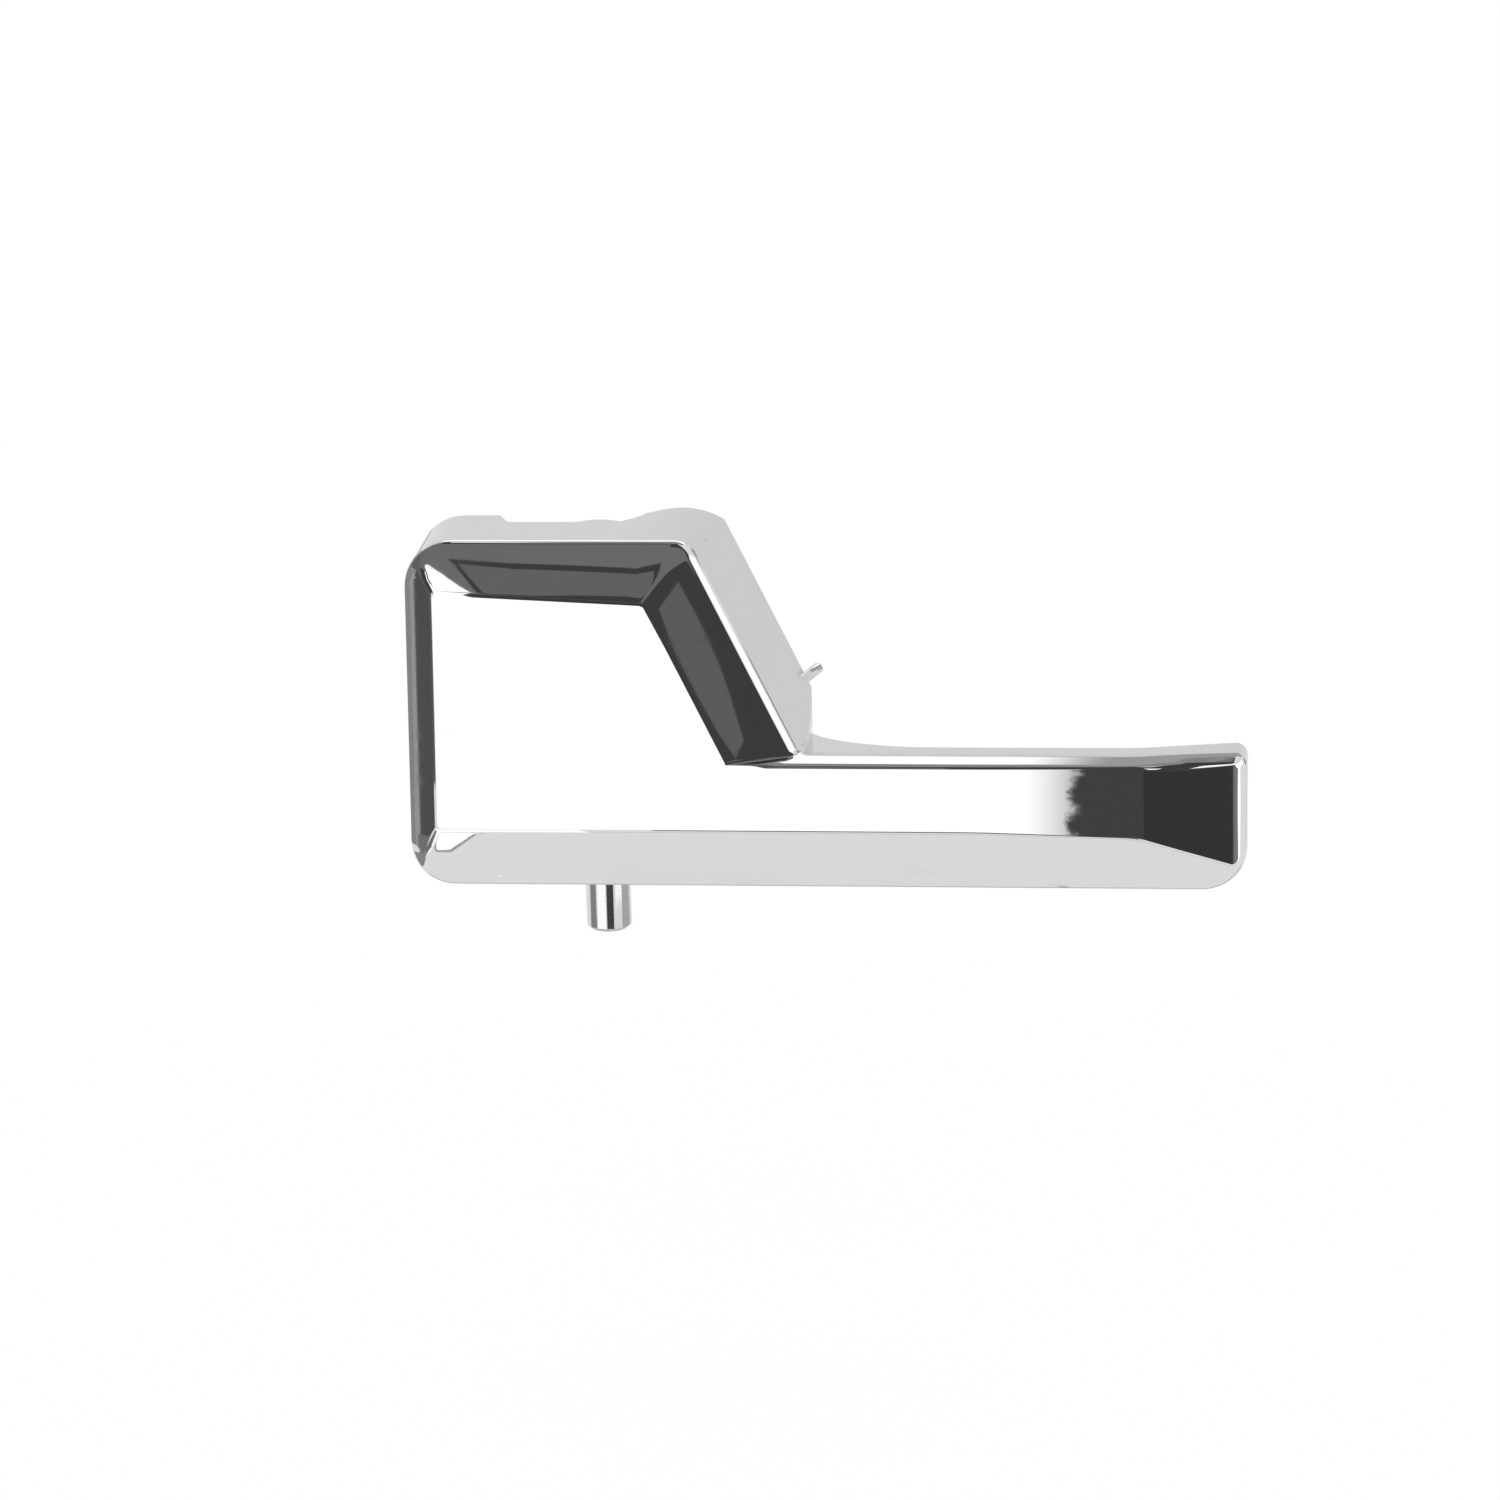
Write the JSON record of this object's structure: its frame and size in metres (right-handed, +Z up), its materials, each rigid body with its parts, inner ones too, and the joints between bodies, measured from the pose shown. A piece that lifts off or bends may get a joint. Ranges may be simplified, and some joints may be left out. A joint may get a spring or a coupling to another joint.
{
  "type": "car interior door release lever",
  "caption": "Chrome-plated inner door release lever with a bevelled mirror face, a finger arm with a bent tip and a hollow back, swinging on a steel pivot pin.",
  "frame": {"origin": "on the pivot axis, level with the lever's flat underside", "axes": "+Z up along the pivot axis, +X along the finger arm, -Y towards the cabin"},
  "size_m": [0.1098, 0.0269, 0.0558],
  "materials": {
    "chrome_plating": "mirror-bright plating over a smooth moulding",
    "pin_steel": "ground and polished"
  },
  "bodies": {
    "pin": {"pivot_pin": "pin_steel"},
    "lever": {"handle_lever": "chrome_plating"}
  },
  "joints": [
    {"name": "lever_swing", "type": "hinge", "parent": "pin", "child": "lever", "pos_m": [0, 0, 0], "axis": [0, 0, -1], "range_deg": [0, 40]}
  ]
}
